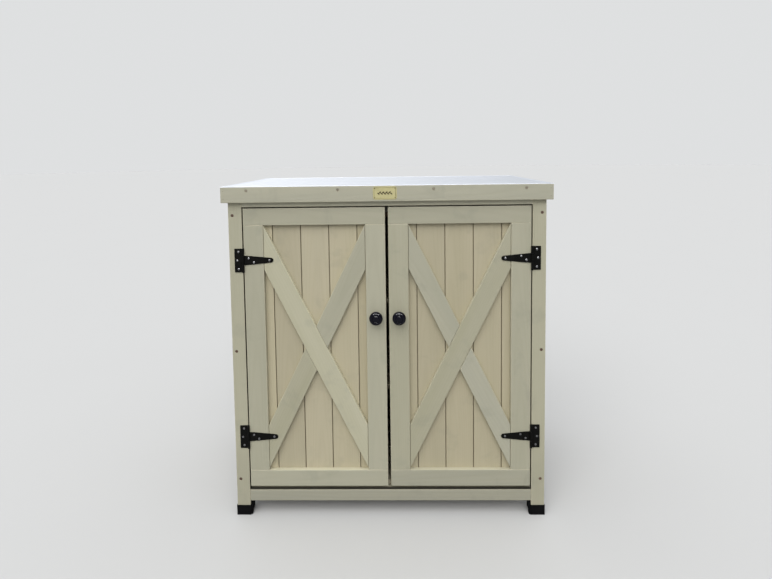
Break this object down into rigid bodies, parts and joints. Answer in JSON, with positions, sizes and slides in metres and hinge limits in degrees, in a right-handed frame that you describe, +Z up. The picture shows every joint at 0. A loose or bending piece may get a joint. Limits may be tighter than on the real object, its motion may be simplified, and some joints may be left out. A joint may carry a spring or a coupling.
{
  "type": "garden storage cabinet",
  "caption": "Low painted wood garden cabinet with X-braced double doors on strap hinges, shelves inside, metal covered top and plastic feet.",
  "frame": {"origin": "on the ground, under the middle of the whole cabinet's box", "axes": "+Z up, the doors face -Y, +X to the right as seen from the front"},
  "size_m": [0.87, 0.493, 0.909],
  "materials": {
    "painted_frame": "satin paint over visible grain",
    "painted_boards": "satin stain over visible grain",
    "zinc_sheet": "galvanised",
    "black_steel": "semi-gloss black",
    "bright_steel": "zinc plated",
    "bronzed_steel": "brown coated",
    "brass": "brushed",
    "knob_black": "gloss black",
    "foot_plastic": "moulded",
    "catch_plastic": "moulded"
  },
  "bodies": {
    "case": {"back_wall_boards": "painted_boards", "back_wall_rails": "painted_frame", "bare_plate": "brass", "deck_cleats": "painted_boards", "door_stop_strip": "painted_frame", "fascia_front": "painted_frame", "fascia_left": "painted_frame", "fascia_rear": "painted_frame", "fascia_right": "painted_frame", "feet_front": "foot_plastic", "feet_rear": "foot_plastic", "floor_boards": "painted_boards", "frame_screws": "bronzed_steel", "front_bottom_rail": "painted_frame", "front_header_rail": "painted_frame", "hinge_leaf_lower_left": "black_steel", "hinge_leaf_lower_right": "black_steel", "hinge_leaf_upper_left": "black_steel", "hinge_leaf_upper_right": "black_steel", "hinge_pins": "black_steel", "leaf_screws": "bright_steel", "left_wall_boards": "painted_boards", "left_wall_rails": "painted_frame", "lower_shelf": "painted_boards", "magnetic_catch": "catch_plastic", "plate_pins": "brass", "post_front_left": "painted_frame", "post_front_right": "painted_frame", "post_rear_left": "painted_frame", "post_rear_right": "painted_frame", "right_wall_boards": "painted_boards", "right_wall_rails": "painted_frame", "top_panel": "painted_boards", "top_sheet": "zinc_sheet", "upper_shelf": "painted_boards"},
    "left_door": {"left_door_boards": "painted_boards", "left_door_bottom_rail": "painted_frame", "left_door_hinge_stile": "painted_frame", "left_door_hinge_strap_lower": "black_steel", "left_door_hinge_strap_upper": "black_steel", "left_door_knob": "knob_black", "left_door_long_brace": "painted_frame", "left_door_meeting_stile": "painted_frame", "left_door_short_braces": "painted_frame", "left_door_strap_screws": "bright_steel", "left_door_strike_plate": "zinc_sheet", "left_door_top_rail": "painted_frame"},
    "right_door": {"right_door_boards": "painted_boards", "right_door_bottom_rail": "painted_frame", "right_door_hinge_stile": "painted_frame", "right_door_hinge_strap_lower": "black_steel", "right_door_hinge_strap_upper": "black_steel", "right_door_knob": "knob_black", "right_door_long_brace": "painted_frame", "right_door_meeting_stile": "painted_frame", "right_door_short_braces": "painted_frame", "right_door_strap_screws": "bright_steel", "right_door_strike_plate": "zinc_sheet", "right_door_top_rail": "painted_frame"}
  },
  "joints": [
    {"name": "left_door_swing", "type": "hinge", "parent": "case", "child": "left_door", "pos_m": [-0.3835, -0.2177, 0.467], "axis": [0, 0, -1], "range_deg": [0, 170]},
    {"name": "right_door_swing", "type": "hinge", "parent": "case", "child": "right_door", "pos_m": [0.3835, -0.2177, 0.467], "axis": [0, 0, 1], "range_deg": [0, 170]}
  ]
}
